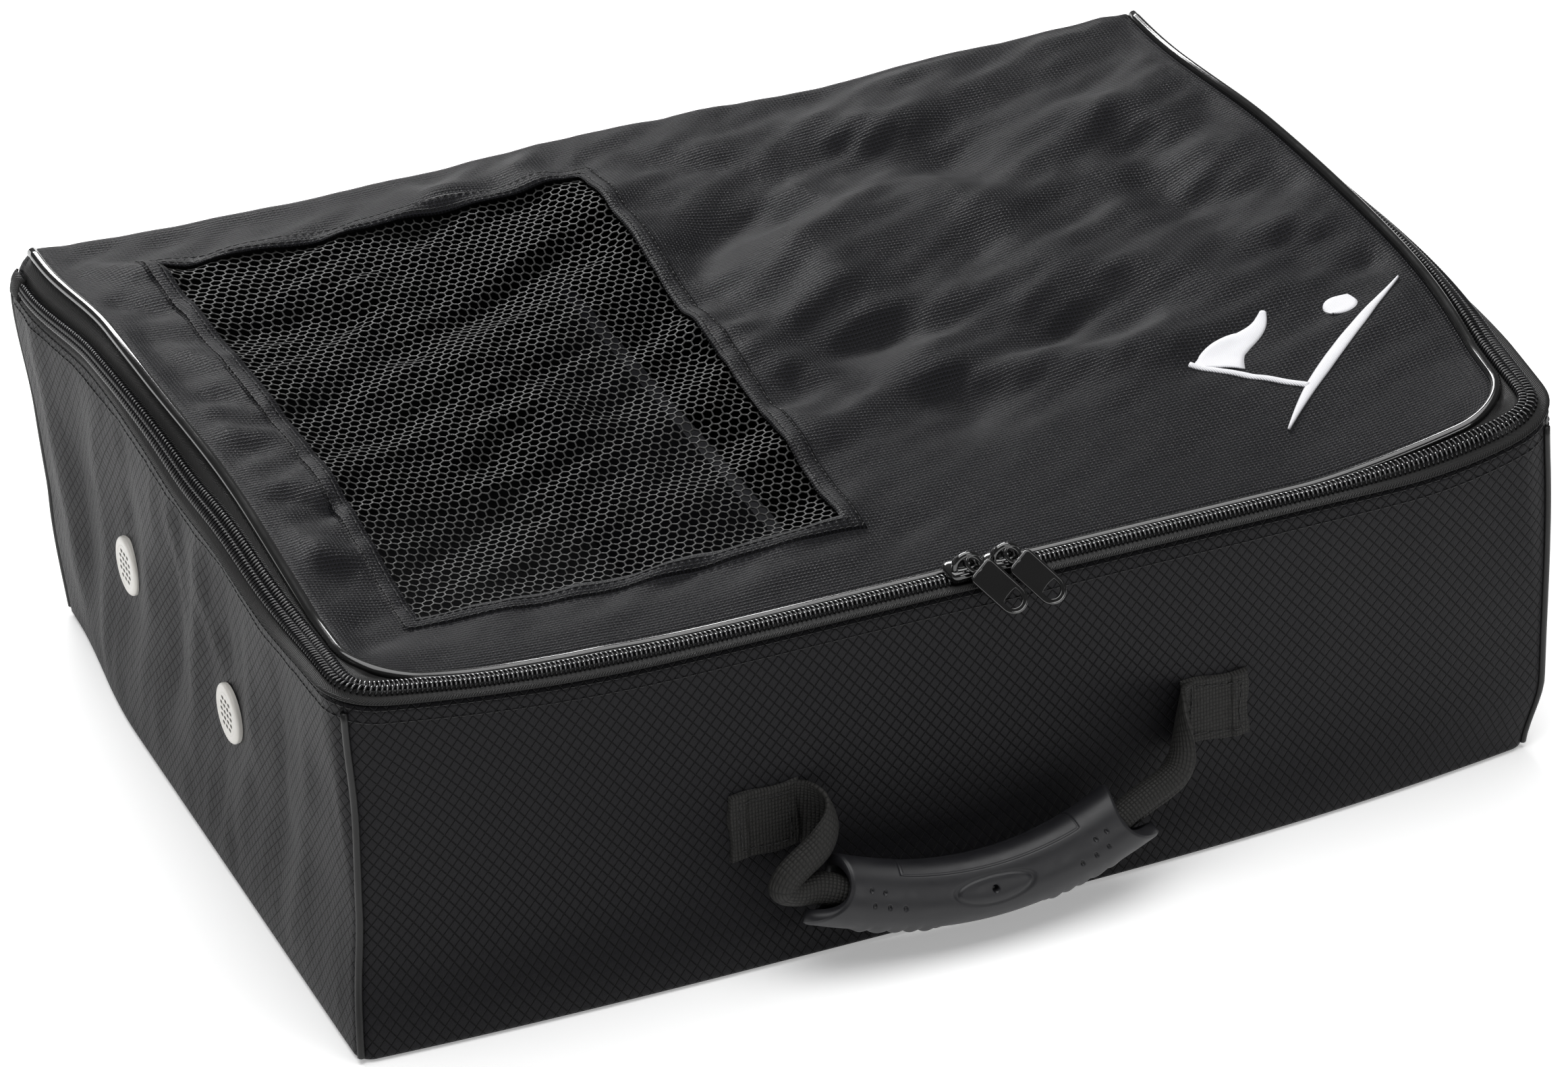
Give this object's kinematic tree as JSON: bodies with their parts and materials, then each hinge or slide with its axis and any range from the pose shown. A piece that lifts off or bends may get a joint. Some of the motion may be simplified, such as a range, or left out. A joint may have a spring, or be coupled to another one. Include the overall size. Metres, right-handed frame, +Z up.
{
  "type": "golf shoe bag",
  "caption": "Flat zipped fabric trunk with a mesh window lid, side vents, inner divider and a rubber-gripped carry handle on its front",
  "frame": {"origin": "centre of the base's underside, on the surface the bag stands on", "axes": "+X to the bag's right seen from the handle side, +Y to the back where the lid is hinged, +Z up"},
  "size_m": [0.5036, 0.4124, 0.1732],
  "materials": {
    "ripstop": "satin diamond ripstop nylon, PU backed",
    "oxford": "satin square-dot oxford",
    "mesh": "open hexagonal knit mesh",
    "tape": "woven zip tape and binding",
    "coil": "glossy nylon coil",
    "piping": "glossy vinyl piping",
    "slider": "glossy black enamelled zinc",
    "vent": "off-white nickel-look plastic",
    "webbing": "coarse plain-weave webbing",
    "rubber": "matte soft-touch rubber",
    "board": "stiffening board",
    "lining": "PU-coated lining",
    "divider": "padded divider",
    "thread": "white embroidery thread"
  },
  "bodies": {
    "shell": {"base_panel": "ripstop", "base_board": "board", "floor_lining": "lining", "floor_binding": "tape", "front_wall": "ripstop", "back_wall": "ripstop", "left_wall": "ripstop", "right_wall": "ripstop", "front_board": "board", "back_board": "board", "front_lining": "lining", "back_lining": "lining", "corner_welts": "tape", "zip_tape_lower": "tape", "zip_coil_lower": "coil", "zip_end_tabs": "tape", "vent_caps": "vent", "vent_washers": "vent", "handle_patch_left": "webbing", "handle_patch_right": "webbing", "divider_panel": "divider", "divider_tabs": "tape"},
    "lid": {"lid_panel": "oxford", "mesh_window": "mesh", "window_binding": "oxford", "lid_piping": "piping", "zip_tape_upper": "tape", "zip_coil_upper": "coil", "lid_emblem": "thread", "hinge_gussets": "oxford"},
    "slider_left": {"slider_left": "slider"},
    "slider_right": {"slider_right": "slider"},
    "pull_left": {"pull_left": "slider"},
    "pull_right": {"pull_right": "slider"},
    "handle": {"handle_strap": "webbing", "handle_grip": "rubber"}
  },
  "joints": [
    {"name": "lid_hinge", "type": "hinge", "parent": "shell", "child": "lid", "pos_m": [0, 0.1854, 0.149], "axis": [-1, 0, 0], "range_deg": [0, 180]},
    {"name": "slider_left_slide", "type": "slide", "parent": "shell", "child": "slider_left", "axis": [-1, 0, 0], "range_m": [0, 0.105]},
    {"name": "slider_right_slide", "type": "slide", "parent": "shell", "child": "slider_right", "axis": [1, 0, 0], "range_m": [0, 0.105]},
    {"name": "pull_left_swing", "type": "hinge", "parent": "slider_left", "child": "pull_left", "pos_m": [0.005, -0.181, 0.1453], "axis": [-1, 0, 0], "range_deg": [0, 120]},
    {"name": "pull_right_swing", "type": "hinge", "parent": "slider_right", "child": "pull_right", "pos_m": [0.021, -0.181, 0.1453], "axis": [-1, 0, 0], "range_deg": [0, 120]},
    {"name": "handle_swing", "type": "hinge", "parent": "shell", "child": "handle", "pos_m": [0, -0.1888, 0.057], "axis": [-1, 0, 0], "range_deg": [0, 90]}
  ]
}
